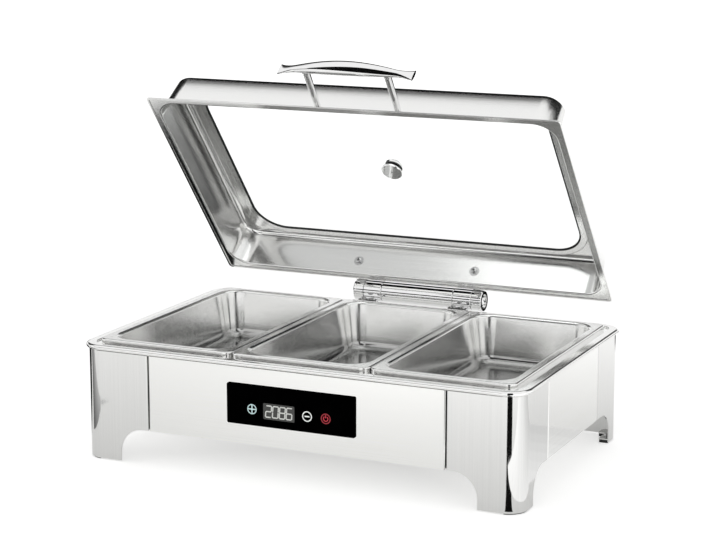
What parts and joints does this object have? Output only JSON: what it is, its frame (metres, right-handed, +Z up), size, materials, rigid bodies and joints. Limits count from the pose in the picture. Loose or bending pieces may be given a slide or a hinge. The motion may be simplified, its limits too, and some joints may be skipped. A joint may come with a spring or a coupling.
{
  "type": "electric chafing dish",
  "caption": "Electric chafing dish: steel water bath on arched legs with a touch control panel, food pans side by side and a hinged lid with a glass window and bar handle.",
  "frame": {"origin": "on the table under the middle of the body, in the plane of the foot pads", "axes": "+X to the right along the front, -Y out of the front with the control panel, +Z up"},
  "size_m": [0.5652, 0.3939, 0.4786],
  "materials": {
    "polished_steel": "polished stainless sheet",
    "satin_steel": "satin stainless sheet",
    "lid_steel": "satin stainless sheet",
    "fastener_steel": "satin",
    "chrome": "mirror",
    "rubber": "matt",
    "aluminium": "cast, satin",
    "heater_sheath": "oxidised",
    "brass": "satin",
    "brown_plastic": "matt",
    "black_glass": "gloss, printed black behind",
    "black_plastic": "fine matt",
    "circuit_board": "satin",
    "blue_plastic": "satin",
    "window_glass": "clear, polished"
  },
  "bodies": {
    "base": {"front_panel": "polished_steel", "back_panel": "polished_steel", "left_panel": "polished_steel", "right_panel": "polished_steel", "corner_leg_front_left": "polished_steel", "corner_leg_front_right": "polished_steel", "corner_leg_back_left": "polished_steel", "corner_leg_back_right": "polished_steel", "top_rim": "polished_steel", "pan_left": "polished_steel", "pan_centre": "polished_steel", "pan_right": "polished_steel", "water_pan": "satin_steel", "heat_reflector": "satin_steel", "bottom_cover": "satin_steel", "foot_screws": "fastener_steel", "heater_nuts": "fastener_steel", "bottom_screws": "fastener_steel", "control_nuts": "fastener_steel", "board_standoffs": "fastener_steel", "inlet_screws": "fastener_steel", "hinge_base_screws": "fastener_steel", "hinge_bracket_left": "chrome", "hinge_bracket_right": "chrome", "hinge_tube": "chrome", "foot_pad_front_left": "rubber", "foot_pad_front_right": "rubber", "foot_pad_back_left": "rubber", "foot_pad_back_right": "rubber", "heat_spreader": "aluminium", "heating_element": "heater_sheath", "temperature_sensor": "brass", "touch_springs": "brass", "inlet_pins": "brass", "hinge_bushes": "brass", "thermal_cutout": "brown_plastic", "control_glass": "black_glass", "display_module": "black_plastic", "control_housing": "black_plastic", "inlet_socket": "black_plastic", "control_board": "circuit_board", "power_board": "circuit_board", "power_relay": "blue_plastic"},
    "lid": {"lid_shell": "lid_steel", "glass_window": "window_glass", "glass_gasket": "rubber", "vent_seals": "rubber", "handle_bar": "chrome", "handle_post_left": "chrome", "handle_post_right": "chrome", "vent_inner_cap": "chrome", "vent_outer_cap": "chrome", "hinge_arm_left": "chrome", "hinge_arm_right": "chrome", "hinge_cap_left": "chrome", "hinge_cap_right": "chrome", "lid_hinge_screws": "chrome", "handle_screws": "fastener_steel", "hinge_shaft": "fastener_steel"}
  },
  "joints": [
    {"name": "lid_hinge", "type": "hinge", "parent": "base", "child": "lid", "pos_m": [0, 0.1998, 0.15], "axis": [-1, 0, 0], "range_deg": [-49.5, 40.5]}
  ]
}
